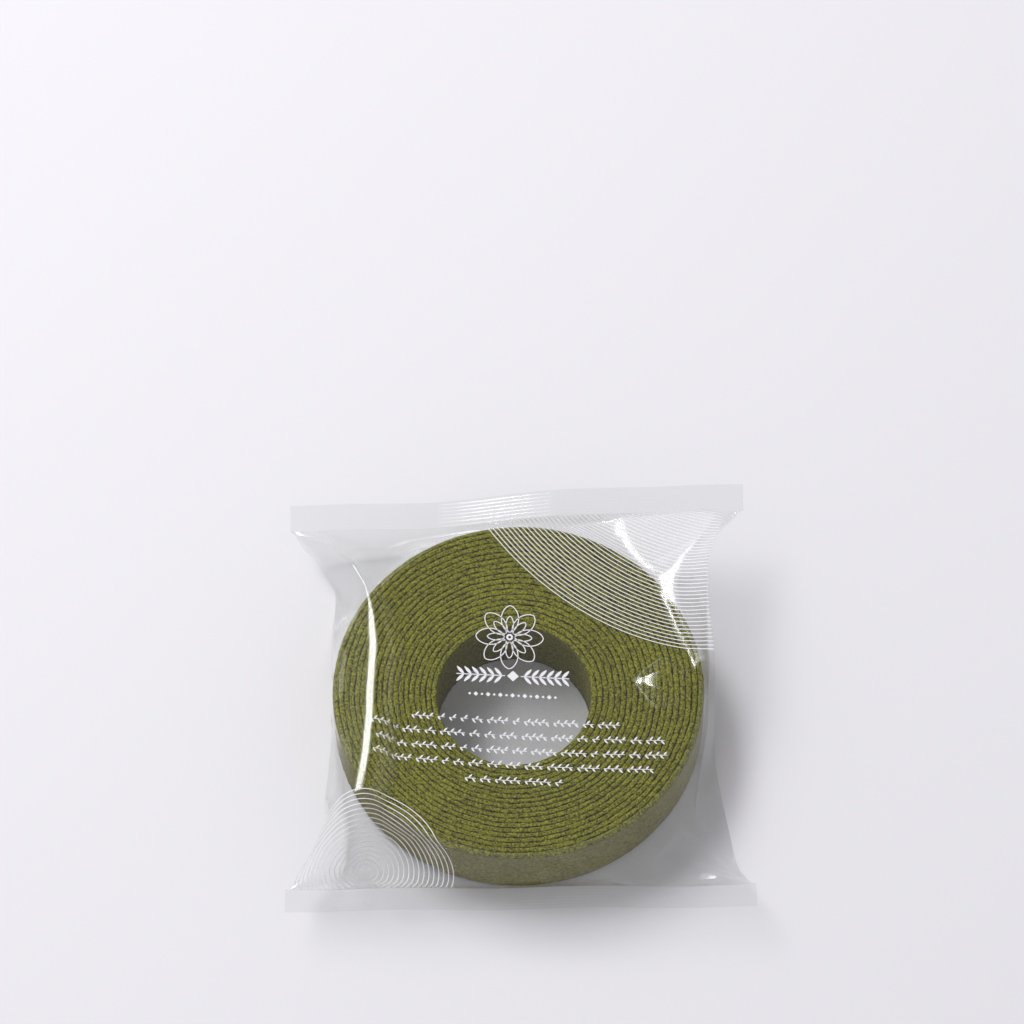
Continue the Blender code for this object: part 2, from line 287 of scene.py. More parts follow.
class Film:
    """A tube of film as a grid of points: rows go from the front weld to the back weld, and columns
    from the right fold over the top to the left fold and back underneath."""

    def __init__(self, step):
        self.step = step
        self.columns = int(round(4 * HALF_WIDTH / step))
        self.rows = int(round(TUBE_LENGTH / step)) + 1
        self.place()
        self.points = self.wrapped()

    def place(self):
        """Each column's place across the flat tube, and each row's place along it."""
        column = np.arange(self.columns)
        self.half = self.columns // 2
        self.upper = column <= self.half
        over = HALF_WIDTH - column * self.step
        under = -HALF_WIDTH + (column - self.half) * self.step
        self.across = np.where(self.upper, over, under)
        self.along = np.linspace(-TUBE_LENGTH / 2, TUBE_LENGTH / 2, self.rows)
        self.gap = self.along[1] - self.along[0]

    def wrapped(self):
        """The tube drawn tight over the ring, as the first shape."""
        out = np.abs(self.across)[None, :] * np.ones((self.rows, 1))
        along = np.abs(self.along)[:, None] * np.ones_like(out)
        middle_y = np.where(along <= RING_RADIUS, along,
                            RING_RADIUS + (along - RING_RADIUS) * (WELD_Y - RING_RADIUS)
                            / (TUBE_LENGTH / 2 - RING_RADIUS))
        side_y = along * WELD_Y / (TUBE_LENGTH / 2)
        side = smooth_step(0.3, 0.95, out / HALF_WIDTH)
        y = middle_y + (side_y - middle_y) * side
        chord = np.sqrt(np.maximum(RING_RADIUS ** 2 - y ** 2, 0))
        rise = (FIRST_TOP - FOLD_Z) * (1 - smooth_step(RING_RADIUS, WELD_Y, y))
        room = HALF_WIDTH - chord
        fold_x = chord + np.sqrt(np.maximum(room ** 2 - rise ** 2, 0))
        share = np.clip((out - chord) / room, 0, 1)
        x = np.where(out <= chord, out, chord + share * (fold_x - chord)) * np.sign(self.across)
        height = rise * (1 - share) * np.where(self.upper, 1, -1)
        return np.stack([x, y * np.sign(self.along)[:, None], FOLD_Z + height], -1)

    def shake(self, rng, amount):
        """Small soft bumps, which decide where the slack film buckles."""
        bump = rng.normal(0, amount, self.points.shape)
        for _ in range(4):
            bump = (bump + np.roll(bump, 1, 1) + np.roll(bump, -1, 1)) / 3
            bump[1:-1] = (bump[:-2] + bump[1:-1] + bump[2:]) / 3
        self.points += bump

    def pull_edges(self):
        """Draws neighbouring points back to their distance on the flat film, which can't stretch."""
        points = self.points
        ring = np.arange(self.columns)
        for first in (ring[0::2], ring[1::2]):
            second = (first + 1) % self.columns
            move = self.correction(points[:, second] - points[:, first], self.step, EDGE_PULL)
            points[:, first] += move
            points[:, second] -= move
        diagonal = math.hypot(self.step, self.gap)
        for turn, rest, strength in ((0, self.gap, EDGE_PULL), (1, diagonal, DIAGONAL_PULL),
                                     (-1, diagonal, DIAGONAL_PULL)):
            for start in (0, 1):
                near = points[start:self.rows - 1:2]
                far = points[start + 1::2][:len(near)]
                move = self.correction(np.roll(far, -turn, 1) - near, rest, strength)
                near += move
                far -= np.roll(move, turn, 1)

    @staticmethod
    def correction(span, rest, strength):
        """How far each end of a span moves to bring it to its rest length."""
        length = np.sqrt((span * span).sum(-1, keepdims=True)) + 1e-9
        return strength * (1 - rest / length) * span

    def stiffen(self, amount):
        """Bending stiffness: draws each point towards the middle of its neighbours both ways."""
        points = self.points
        points += amount * (0.5 * (np.roll(points, 1, 1) + np.roll(points, -1, 1)) - points)
        points[1:-1] += amount * (0.5 * (points[:-2] + points[2:]) - points[1:-1])

    def keep_clear(self):
        """Keeps the film over its creases, out of the cake and above the floor, and its sides apart."""
        top = self.points[:, 1:self.half]
        self.follow_creases(top)
        self.part_sides(top)
        radius = np.hypot(self.points[..., 0], self.points[..., 1]) + 1e-9
        self.leave_cake(radius)
        self.cling_to_face(radius)
        height = self.points[..., 2]
        np.maximum(height, FLOOR_GAP, out=height)
        self.pin_welds()

    @staticmethod
    def follow_creases(top):
        """Lifts the film's upper side over its crease and its swelling, and into its raised corner."""
        np.maximum(top[..., 2], np.maximum(left_crease(top), right_swell(top)), out=top[..., 2])
        height, hold = raised_corner(top)
        top[..., 2] += CORNER_HOLD * hold * (height - top[..., 2])

    def part_sides(self, top):
        """Keeps the film's upper side above its lower side."""
        low = self.points[:, :self.half:-1]
        short = np.maximum(SIDE_GAP - (top[..., 2] - low[..., 2]), 0) / 2
        top[..., 2] += short
        low[..., 2] -= short

    def leave_cake(self, radius):
        """Pushes the film out of the ring, whose edges it rounds off."""
        x, y, z = self.points[..., 0], self.points[..., 1], self.points[..., 2]
        middle = CAKE_LIFT + RING_HEIGHT / 2
        past_rim = radius - (RING_RADIUS + TOUCH - RIM_ROUND)
        past_face = np.abs(z - middle) - (RING_HEIGHT / 2 + TOUCH - RIM_ROUND)
        outward, upward = np.maximum(past_rim, 0), np.maximum(past_face, 0)
        corner = np.hypot(outward, upward) + 1e-9
        depth = RIM_ROUND - np.where(corner > 1e-6, corner, np.maximum(past_rim, past_face))
        sideways = np.where(corner > 1e-6, outward / corner, past_rim > past_face)
        lengthwise = np.where(corner > 1e-6, upward / corner, past_rim <= past_face)
        push = np.maximum(depth, 0)
        x += push * sideways * x / radius
        y += push * sideways * y / radius
        z += push * lengthwise * np.sign(z - middle)

    def cling_to_face(self, radius):
        """Draws film that is close to the cake's cut face down to it, with a slight sag over the hole."""
        x, y, z = self.points[..., 0], self.points[..., 1], self.points[..., 2]
        from_hole = np.hypot(x - HOLE_CENTRE[0], y - HOLE_CENTRE[1]) / HOLE_RADIUS
        sag = HOLE_SAG * np.maximum(1 - from_hole ** 2, 0)
        above = z - (FACE_Z - sag)
        over_face = self.upper & (radius < RING_RADIUS - RIM_ROUND) & (x > CLING_FROM_X)
        z -= np.where(over_face & (above < CLING_REACH), CLING * above, 0)

    def pin_welds(self):
        """Holds both ends of the tube flat along their welds."""
        for row, y in ((0, -WELD_Y), (-1, WELD_Y)):
            self.points[row, :, 0] = self.across
            self.points[row, :, 1] = y
            self.points[row, :, 2] = weld_height(self.across, y)

    def settle(self, steps, weight, stiffness, passes=4, drag=0.9, fastest=0.8):
        """Lets the film fall into shape under its weight."""
        speed = np.zeros_like(self.points)
        for _ in range(steps):
            before = self.points.copy()
            self.points += speed * drag
            self.points[..., 2] -= weight
            for _ in range(passes):
                self.pull_edges()
                self.stiffen(stiffness)
                self.keep_clear()
            speed = self.points - before
            rate = np.sqrt((speed * speed).sum(-1, keepdims=True)) + 1e-9
            speed *= np.minimum(1, fastest / rate)

    def iron(self, passes):
        """Takes out the small zigzags that the grid leaves at sharp bends."""
        for _ in range(passes):
            self.stiffen(0.25)
            self.keep_clear()

    def refine(self):
        """Doubles the grid both ways."""
        points = self.points
        mid = cubic_middle(np.roll(points, 1, 1), points, np.roll(points, -1, 1), np.roll(points, -2, 1))
        wide = np.stack([points, mid], 2).reshape(self.rows, -1, 3)
        padded = np.concatenate([2 * wide[:1] - wide[1:2], wide, 2 * wide[-1:] - wide[-2:-1]])
        mid = cubic_middle(padded[:-3], padded[1:-2], padded[2:-1], padded[3:])
        tall = np.empty((2 * self.rows - 1, 2 * self.columns, 3))
        tall[0::2] = wide
        tall[1::2] = mid
        self.step /= 2
        self.rows, self.columns = tall.shape[:2]
        self.points = tall
        self.place()

    def at(self, across, along):
        """Points on the film, and its outward normals, at places on the flat tube's upper side."""
        column = (HALF_WIDTH - np.asarray(across, float)) / self.step
        row = (np.asarray(along, float) + TUBE_LENGTH / 2) / self.gap
        row = np.clip(row, 0, self.rows - 1.001)
        i, j = np.floor(row).astype(int), np.floor(column).astype(int)
        s, t = (row - i)[:, None], (column - j)[:, None]
        j, k = j % self.columns, (j + 1) % self.columns
        p = self.points
        a, b, c, d = p[i, j], p[i, k], p[i + 1, j], p[i + 1, k]
        point = (a * (1 - t) + b * t) * (1 - s) + (c * (1 - t) + d * t) * s
        normal = np.cross((c + d) - (a + b), (b + d) - (a + c))
        return point, normal / (np.linalg.norm(normal, axis=1, keepdims=True) + 1e-12)


def left_crease(points):
    """The height of the left crease's crest, with its bends and its flank, beside each point."""
    y, x, z = np.array(LEFT_CREASE, float).T
    aside = points[..., 0] - np.interp(points[..., 1], y, x)
    size = 1 - CREASE_SHARPENING * smooth_step(*CREASE_SHARPENS_Y, points[..., 1])
    past = np.maximum(np.maximum(aside, -aside - FLANK_WIDTH * size), 0)
    bend = past ** 2 / (2 * CREASE_RADIUS * size)
    run = (LOWER_FLANK_SLOPE - FLANK_SLOPE) * CREASE_RADIUS * size
    straight = np.where(past > run, run * (past - run / 2) / (CREASE_RADIUS * size), bend)
    over_cake = np.hypot(points[..., 0], points[..., 1]) < LOWER_FLANK_RADIUS
    bend = np.where((aside < 0) & over_cake, straight, bend)
    flank = FLANK_SLOPE * (np.sqrt(aside ** 2 + FLANK_START ** 2) - FLANK_START)
    return np.interp(points[..., 1], y, z, left=0, right=0) - bend - np.where(aside < 0, flank, 0)


def right_swell(points):
    """The height of the low swelling on the right, a fan that climbs from its tip and sinks again."""
    x, y = points[..., 0] - SWELL_TIP[0], points[..., 1] - SWELL_TIP[1]
    away = np.hypot(x, y)
    turn = np.abs(np.arctan2(y, x) - SWELL_WAY) / SWELL_HALF_ANGLE
    steep, level = SWELL_CLIMB
    easing = np.clip(away - steep, 0, level - steep)
    climb = SWELL_SLOPE * (np.minimum(away, steep) + easing - easing ** 2 / (2 * (level - steep)))
    sinks = 1 - smooth_step(level, SWELL_REACH, away)
    height = climb * sinks * (1 - smooth_step(SWELL_SIDE, 1.0, turn))
    return np.where(height > 0, FACE_Z + height, 0)


def past_line(points, line, bend):
    """How far each point lies to the right of a line, rounded off to 0 on its left."""
    y, x = np.array(line, float).T
    aside = (points[..., 0] - np.interp(points[..., 1], y, x)) / bend
    return bend * np.logaddexp(0, aside), aside


def raised_corner(points):
    """The form of the film in the back right corner, and how firmly it is held to that form."""
    x, y = points[..., 0], points[..., 1]
    bend = RISE_BEND + (RISE_BEND_BACK - RISE_BEND) * smooth_step(*RISE_SHARPENS_Y, y)
    rise, aside = past_line(points, RISE_LINE, bend)
    steep, _ = past_line(points, STEEP_LINE, STEEP_BEND)
    step = RISE_STEP * bend / RISE_BEND / (1 + np.exp(-np.clip(aside, -30, 30)))
    fall = FALL_SLOPE * np.maximum(y - FALL_START, 0)
    height = FACE_Z + RISE_SLOPE * rise + STEEP_SLOPE * steep + step - fall
    hold = smooth_step(*CORNER_START, aside) * smooth_step(*CORNER_Y, y)
    hold *= (1 - smooth_step(*CORNER_X, x)) * (1 - smooth_step(*CORNER_BACK_Y, y))
    return height, hold


def cubic_middle(a, b, c, d):
    """The point halfway between b and c on a smooth curve through a, b, c and d."""
    return (9 * (b + c) - (a + d)) / 16


def weld_height(x, y):
    """The height of a weld, with its slow wave and the back one's raised right end."""
    wave = WELD_WAVE * np.sin(WELD_WAVES * math.pi * x / HALF_WIDTH + math.copysign(WELD_PHASE, y))
    return FOLD_Z + wave + (CORNER_LIFT * smooth_step(*CORNER_LIFT_X, x) if y > 0 else 0)


def make_film():
    """Wraps the tube round the ring and settles it, coarse first and then finer."""
    film = Film(COARSE_STEP)
    film.shake(np.random.default_rng(7), FIRST_BUMPS)
    for number, (steps, weight, stiffness) in enumerate(SETTLING):
        if number > 0:
            film.refine()
        film.settle(steps, weight, stiffness)
    film.iron(IRONING)
    return film


# Meshes


def make_object(name, points, faces, material, smooth=True):
    """An object made of points in millimetres and faces, in the scene."""
    mesh = bpy.data.meshes.new(name)
    mesh.from_pydata((np.asarray(points) * MM).tolist(), [], faces)
    mesh.update()
    if smooth:
        mesh.shade_smooth()
    mesh.materials.append(material)
    thing = bpy.data.objects.new(name, mesh)
    bpy.context.scene.collection.objects.link(thing)
    return thing


def add_values(thing, name, values):
    """Stores one number per vertex for the material to read."""
    layer = thing.data.attributes.new(name, "FLOAT", "POINT")
    layer.data.foreach_set("value", np.asarray(values, np.float32).ravel())


def grid_faces(rows, columns, closed_rows=False, closed_columns=False):
    """Quads between neighbouring points of a grid stored row by row."""
    i = np.arange(rows if closed_rows else rows - 1)
    j = np.arange(columns if closed_columns else columns - 1)
    i, j = np.meshgrid(i, j, indexing="ij")
    k, m = (i + 1) % rows, (j + 1) % columns
    quads = np.stack([i * columns + j, k * columns + j, k * columns + m, i * columns + m], -1)
    return quads.reshape(-1, 4).tolist()


def weld_strip(edge, facing):
    """A welded end: rows of points that run out from the tube's edge and tilt up, with fine crimps."""
    out = np.linspace(0, WELD_WIDTH, int(WELD_WIDTH / WELD_STEP) + 1)[:, None]
    fade = smooth_step(0, 1, out) * smooth_step(0, 1, WELD_WIDTH - out)
    crimp = CRIMP_HEIGHT * np.sin(2 * math.pi * out / CRIMP_PITCH) * fade
    lengthwise = facing * out * math.cos(WELD_TILT)
    upward = out * math.sin(WELD_TILT) + crimp
    return edge[None] + np.stack([0 * out, lengthwise, upward], -1)


def make_bag(film, material):
    """The film tube and its two welded ends as one mesh."""
    points = [film.points.reshape(-1, 3)]
    faces = grid_faces(film.rows, film.columns, closed_columns=True)
    for facing, row in ((-1, 0), (1, -1)):
        strip = weld_strip(film.points[row, :film.half + 1], facing)
        start = sum(len(part) for part in points)
        quads = grid_faces(*strip.shape[:2])
        faces += [[start + corner for corner in quad[::facing]] for quad in quads]
        points.append(strip.reshape(-1, 3))
    return make_object("film", np.concatenate(points), faces, material)


# Cake


def ring_profile():
    """The ring's section, going round it: share from hole to rim, height, and whether it is skin."""
    face = np.append(np.add.outer(np.arange(LAYERS), LAYER_STEPS).ravel() / LAYERS, 1)
    wall = np.linspace(0, 1, WALL_STEPS)[1:-1]
    base = np.linspace(1, 0, 3)
    share = np.concatenate([face, np.ones_like(wall), base, np.zeros_like(wall)])
    height = np.concatenate([np.ones_like(face), 1 - wall, np.zeros_like(base), wall])
    skin = np.ones_like(share)
    skin[1:len(face) - 1] = 0
    return share[:, None], height[:, None], skin[:, None]


def soft_noise(points, bumps, seed):
    """Smooth noise at each point, whose bumps have the given strength and length."""
    strength, length = bumps
    shift = Vector([part * seed for part in NOISE_SHIFT])
    flat = points.reshape(-1, 3) / length
    return strength * np.array([noise.noise(Vector(p) + shift) for p in flat]).reshape(points.shape[:-1])


def on_circles(radius, turn, third):
    """Points at a radius and a turn, with a third coordinate for noise to vary along."""
    return np.stack(np.broadcast_arrays(radius * np.cos(turn), radius * np.sin(turn), third), -1)


def wandering(share, spread, turn):
    """How far the layers wander in and out round the ring."""
    wander = soft_noise(on_circles(spread, turn, 0.4 * spread), SLOW_WANDER, 1)
    wander += soft_noise(on_circles(spread, turn, 3 * spread), QUICK_WANDER, 2)
    wander *= np.minimum(1, 8 * np.minimum(share, 1 - share))
    return wander + soft_noise(on_circles(spread, turn, 40.0), RIM_WANDER, 3) * share


def crumb_puffs(radius, turn):
    """The crumb's small puffs, partly drawn out round the ring."""
    puffs = soft_noise(on_circles(radius, turn, 0.0), PUFFS, 4)
    return puffs + soft_noise(on_circles(STREAK_SHARE * radius, turn, radius), STREAKS, 8)


def broken_seams(layer, spread, turn):
    """How strong the nearest seam is at each point, as the seams fade and start again."""
    seam = np.round(layer) * 5.0
    strength = SEAM_STRENGTH + soft_noise(on_circles(spread, turn, seam), LONG_BREAKS, 5)
    strength += soft_noise(on_circles(spread, turn, seam), SHORT_BREAKS, 6)
    return np.clip(strength, *SEAM_STRENGTH_RANGE)


def face_sink(share, spread, layer, broken):
    """How far the cut face lies below its top: between the rounded layers, in crevices, at its edges."""
    from_seam = np.abs(layer - np.round(layer))
    rope = ROPE_ROUNDING * (1 - 2 * from_seam) ** 2
    sink = rope + CREVICE_DEPTH * broken * (from_seam < 0.02)
    sink = np.where(share < 1e-6, HOLE_EDGE_SINK, sink)
    sink = np.where(share > 1 - 1e-6, 0, sink)
    past_shoulder = np.clip(1 - (RING_RADIUS - spread) / RIM_ROUNDING, 0, 0.97)
    return sink + RIM_ROUNDING * (1 - np.sqrt(1 - past_shoulder ** 2))


def make_cake(material):
    """The ring: a cut face of puffy bands between thin broken crevices, round walls, and a flat base."""
    share, height, skin = ring_profile()
    turn = np.linspace(0, 2 * math.pi, CAKE_SPOKES, endpoint=False)[None, :]
    spread = HOLE_RADIUS + (RING_RADIUS - HOLE_RADIUS) * share
    layer = share * LAYERS
    radius = spread + wandering(share, spread, turn)
    crumb = crumb_puffs(radius, turn)
    broken = broken_seams(layer, spread, turn)
    relief = CRUMB_RELIEF * crumb - face_sink(share, spread, layer, broken)
    bulge = WALL_BULGE * np.sin(np.pi * height) * skin * np.where(share > 0.5, 1.0, -1.0)
    foot = (share > 1 - 1e-6) & (height < 1e-6)
    out = radius + bulge - FOOT_INSET * foot
    x = HOLE_CENTRE[0] * (1 - share) + out * np.cos(turn)
    y = HOLE_CENTRE[1] * (1 - share) + out * np.sin(turn)
    wall_places = np.stack(np.broadcast_arrays(x, y, RING_HEIGHT * height), -1)
    wall_relief = soft_noise(wall_places, WALL_RELIEF, 7) * skin
    x = x + wall_relief * np.cos(turn)
    y = y + wall_relief * np.sin(turn)
    z = CAKE_LIFT + RING_HEIGHT * height + np.where(height > 0.999, relief, 0)
    faces = grid_faces(*x.shape, closed_rows=True, closed_columns=True)
    cake = make_object("ring_cake", np.stack([x, y, z], -1).reshape(-1, 3), faces, material)
    for name, values in (("layer", layer), ("skin", skin), ("crumb", crumb * 0.5 + 0.5), ("broken", broken)):
        add_values(cake, name, np.broadcast_to(values, x.shape))
    return cake


# Print


def ribbon(film, places, width):
    """A printed line: points and quads of a thin strip that follows the film."""
    places = np.asarray(places, float)
    tangent = np.gradient(places, axis=0)
    tangent /= np.linalg.norm(tangent, axis=1, keepdims=True) + 1e-12
    aside = np.stack([-tangent[:, 1], tangent[:, 0]], -1) * np.asarray(width, float)[..., None] / 2
    sides = []
    for sign in (-1, 1):
        edge = places + sign * aside
        point, normal = film.at(edge[:, 0], edge[:, 1])
        sides.append(point + normal * PRINT_LIFT)
    count = len(places)
    faces = [[i, i + count, i + count + 1, i + 1] for i in range(count - 1)]
    return np.concatenate(sides), faces


def make_print(film, name, lines, material):
    """One piece of all the printed lines given as (places, width)."""
    points, faces, count = [], [], 0
    for places, width in lines:
        new_points, new_faces = ribbon(film, places, width)
        points.append(new_points)
        faces += [[count + corner for corner in face] for face in new_faces]
        count += len(new_points)
    return make_object(name, np.concatenate(points), faces, material)


def on_upper_side(line):
    """Which places lie on the printed side of the bag."""
    return (np.abs(line[:, 0]) < HALF_WIDTH - 0.5) & (np.abs(line[:, 1]) < TUBE_LENGTH / 2 - 0.3)


def kept_runs(line, keep):
    """The unbroken stretches of a line whose places are kept, apart from very short ones."""
    changes = np.flatnonzero(np.diff(np.concatenate([[0], keep, [0]])))
    for start, stop in zip(changes[0::2], changes[1::2]):
        if stop - start > 2:
            yield line[start:stop]


def arc_lines(centre, outer, pitch, count, angles):
    """Rings about a centre on the flat film, cut to the printed side of the bag."""
    for radius in outer - pitch * np.arange(count):
        turn = np.arange(math.radians(angles[0]), math.radians(angles[1]), ARC_STEP / radius)
        line = np.stack([centre[0] + radius * np.cos(turn), centre[1] + radius * np.sin(turn)], -1)
        yield from kept_runs(line, on_upper_side(line))


def corner_arcs():
    """Fine growth-ring arcs in the back right and front left corners."""
    return [(line, ARC_WIDTH) for line in [*arc_lines(*BACK_ARCS), *arc_lines(*FRONT_ARCS)]]


def turned(points):
    """Places of the middle ornament, turned a little on the bag as it was packed."""
    cos, sin = math.cos(ORNAMENT_TURN), math.sin(ORNAMENT_TURN)
    x, y = np.asarray(points, float).T
    return np.stack([x * cos - y * sin, x * sin + y * cos], -1)


def petal_side(reach, half_width, way, side):
    """One side of a petal, which points a given way from the rosette's middle."""
    share = np.linspace(0, math.pi, 25)
    along = PETAL_START + (reach - PETAL_START) * (1 - np.cos(share)) / 2
    aside = side * half_width * np.sin(share) ** 1.2
    x = along * math.cos(way) - aside * math.sin(way)
    y = along * math.sin(way) + aside * math.cos(way)
    return ROSETTE_CENTRE + np.stack([x, y], -1)


def rosette():
    """An open flower of long petals, each one with a smaller petal inside it."""
    for petal in range(PETALS):
        way = 2 * math.pi * petal / PETALS
        for reach, half_width in PETAL_SIZES:
            for side in (-1, 1):
                yield petal_side(reach, half_width, way, side), ORNAMENT_LINE
    turn = np.linspace(0, 2 * math.pi, 25)
    yield ROSETTE_CENTRE + EYE_RADIUS * np.stack([np.cos(turn), np.sin(turn)], -1), EYE_LINE


def leaf(foot, tip, width, steps):
    """A printed leaf: its places from foot to tip, and its width at each, greatest in the middle."""
    share = np.linspace(0, 1, steps)
    return foot + share[:, None] * tip, width[0] + width[1] * np.sin(math.pi * share)


def pointed_spot(middle, half_length, width):
    """A printed spot with a point at either end: its places, and its width at each."""
    share = np.linspace(-1, 1, 9)
    return middle + half_length * np.stack([share, 0 * share], -1), SPOT_TIP + width * (1 - np.abs(share))


def garland():
    """A garland of leaves either side of a diamond."""
    for side in (-1, 1):
        for step in range(GARLAND_LEAVES):
            foot_x = GARLAND_MIDDLE[0] + side * (GARLAND_START + GARLAND_PITCH * step)
            for lift in (-1, 1):
                tip = np.array((side * GARLAND_LEAF[0], lift * GARLAND_LEAF[1]))
                yield leaf(np.array((foot_x, GARLAND_MIDDLE[1])), tip, GARLAND_LEAF_WIDTH, 9)
        ends = np.array((GARLAND_STEM, GARLAND_START + GARLAND_PITCH * GARLAND_LEAVES)) * side
        stem = np.linspace(*(ends + GARLAND_MIDDLE[0]), 12)
        yield np.stack([stem, np.full(12, GARLAND_MIDDLE[1])], -1), ORNAMENT_LINE
    yield pointed_spot(GARLAND_MIDDLE, *DIAMOND)


def bead_row():
    """A row of beads, small and big in turn, under the garland."""
    for bead in range(BEADS):
        x = GARLAND_MIDDLE[0] + BEAD_PITCH * (bead - (BEADS - 1) / 2)
        yield pointed_spot((x, GARLAND_MIDDLE[1] - BEADS_BELOW), *(BIG_BEAD if bead % 2 else SMALL_BEAD))


def twig(x, y, leaves, rng):
    """A little twig: a stem with leaves on both sides in turn."""
    stem = np.linspace(x, x + leaves * LEAF_PITCH, 3 * leaves)
    yield np.stack([stem, np.full(3 * leaves, y)], -1), TWIG_STEM
    for number in range(leaves):
        side = 1 if number % 2 else -1
        tip = np.array((LEAF_SIZE[0], side * LEAF_SIZE[1])) * rng.uniform(*LEAF_VARIES)
        yield leaf(np.array((x + number * LEAF_PITCH, y)), tip, LEAF_WIDTH, 7)


def twig_rows():
    """Rows of little twigs of uneven length."""
    rng = np.random.default_rng(3)
    for y, left, right in TWIG_ROWS:
        x = left
        while x < right - 2 * LEAF_PITCH:
            leaves = min(rng.integers(*TWIG_LEAVES), int((right - x) / LEAF_PITCH))
            yield from twig(x, y, leaves, rng)
            x += leaves * LEAF_PITCH + TWIG_GAP


def middle_ornament():
    """The rosette, the garland and the beads under it, and rows of twigs under those."""
    lines = [*rosette(), *garland(), *bead_row(), *twig_rows()]
    return [(turned(line), width) for line, width in lines]


# Materials


class Nodes:
    """The nodes of a new material or of the world."""

    def __init__(self, owner):
        self.owner = owner
        owner.use_nodes = True
        self.tree = owner.node_tree
        self.tree.nodes.clear()

    def add(self, kind, **settings):
        """A new node, with values for its inputs and its own settings."""
        node = self.tree.nodes.new(kind)
        for key, value in settings.items():
            if key in node.inputs.keys():
                node.inputs[key].default_value = value
            else:
                setattr(node, key, value)
        return node

    def feed(self, slot, value):
        """Gives an input a number or a colour, or the output of another node."""
        if isinstance(value, bpy.types.NodeSocket):
            self.tree.links.new(value, slot)
        else:
            slot.default_value = value

    def attribute(self, name):
        """A number that the mesh holds for each vertex."""
        return self.add("ShaderNodeAttribute", attribute_name=name).outputs["Fac"]

    def maths(self, operation, a, b=None, clamp=False):
        """The result of a sum or the like."""
        node = self.add("ShaderNodeMath", operation=operation, use_clamp=clamp)
        self.feed(node.inputs[0], a)
        if b is not None:
            self.feed(node.inputs[1], b)
        return node.outputs[0]

    def ramp(self, value, stops):
        """A colour for a value, from stops of (position, colour)."""
        node = self.add("ShaderNodeValToRGB")
        first, last = node.color_ramp.elements
        first.position, first.color = stops[0]
        last.position, last.color = stops[-1]
        for position, colour in stops[1:-1]:
            node.color_ramp.elements.new(position).color = colour
        self.feed(node.inputs[0], value)
        return node.outputs[0]

    def blend(self, factor, a, b, kind="MIX"):
        """Colour b laid over colour a."""
        node = self.add("ShaderNodeMix", data_type="RGBA", blend_type=kind)
        for slot, value in ((node.inputs[0], factor), (node.inputs[6], a), (node.inputs[7], b)):
            self.feed(slot, value)
        return node.outputs[2]

    def grains(self, grain, vector=None):
        """Noise of a given scale, detail and roughness, in the object's own space or at a vector."""
        scale, detail, roughness = grain
        node = self.add("ShaderNodeTexNoise", Scale=scale, Detail=detail, Roughness=roughness)
        if vector is not None:
            self.feed(node.inputs["Vector"], vector)
        return node.outputs["Fac"]

    def bump(self, height, strength, distance):
        """Normals that make a surface look uneven."""
        node = self.add("ShaderNodeBump", Strength=strength, Distance=distance)
        self.feed(node.inputs["Height"], height)
        return node.outputs[0]

    def surface(self, colour, roughness, bump=None, specular=0.5, metallic=0.0):
        """An opaque surface shader."""
        shader = self.add("ShaderNodeBsdfPrincipled", Roughness=roughness, Metallic=metallic)
        shader.inputs["Specular IOR Level"].default_value = specular
        self.feed(shader.inputs["Base Color"], colour)
        if bump is not None:
            self.feed(shader.inputs["Normal"], bump)
        return shader.outputs[0]

    def finish(self, shader, kind="ShaderNodeOutputMaterial"):
        """Joins a shader to the output, and gives back the material or the world."""
        self.feed(self.add(kind).inputs["Surface"], shader)
        return self.owner


def film_material():
    """Clear glossy film: mostly see-through, with a mirror gloss that grows towards grazing views."""
    nodes = Nodes(bpy.data.materials.new("clear_film"))
    clear = nodes.add("ShaderNodeBsdfTransparent", Color=FILM_TINT)
    crinkles = nodes.bump(nodes.grains(CRINKLE_GRAIN), *FILM_BUMP)
    gloss = nodes.surface(GLOSS_COLOUR, FILM_ROUGHNESS, crinkles, metallic=GLOSS_METALLIC)
    facing = nodes.add("ShaderNodeLayerWeight", Blend=0.5)
    grazing = nodes.maths("POWER", facing.outputs["Facing"], 5.0)
    share = nodes.add("ShaderNodeMapRange")
    share.inputs["To Min"].default_value = FILM_GLOSS
    nodes.feed(share.inputs["Value"], grazing)
    mix = nodes.add("ShaderNodeMixShader")
    for slot, source in zip(mix.inputs, (share.outputs[0], clear.outputs[0], gloss)):
        nodes.feed(slot, source)
    return nodes.finish(mix.outputs[0])


def print_material():
    """White ink."""
    nodes = Nodes(bpy.data.materials.new("white_ink"))
    return nodes.finish(nodes.surface(INK_COLOUR, 0.5))


def round_the_ring(nodes, coords):
    """Coordinates in which noise is drawn out round the ring."""
    place = nodes.add("ShaderNodeSeparateXYZ")
    nodes.feed(place.inputs[0], coords)
    x, y = place.outputs[0], place.outputs[1]
    squares = nodes.maths("ADD", nodes.maths("MULTIPLY", x, x), nodes.maths("MULTIPLY", y, y))
    joined = nodes.add("ShaderNodeCombineXYZ")
    nodes.feed(joined.inputs[0], nodes.maths("MULTIPLY", x, STREAK_SHARE))
    nodes.feed(joined.inputs[1], nodes.maths("MULTIPLY", y, STREAK_SHARE))
    nodes.feed(joined.inputs[2], nodes.maths("SQRT", squares))
    return joined.outputs[0]


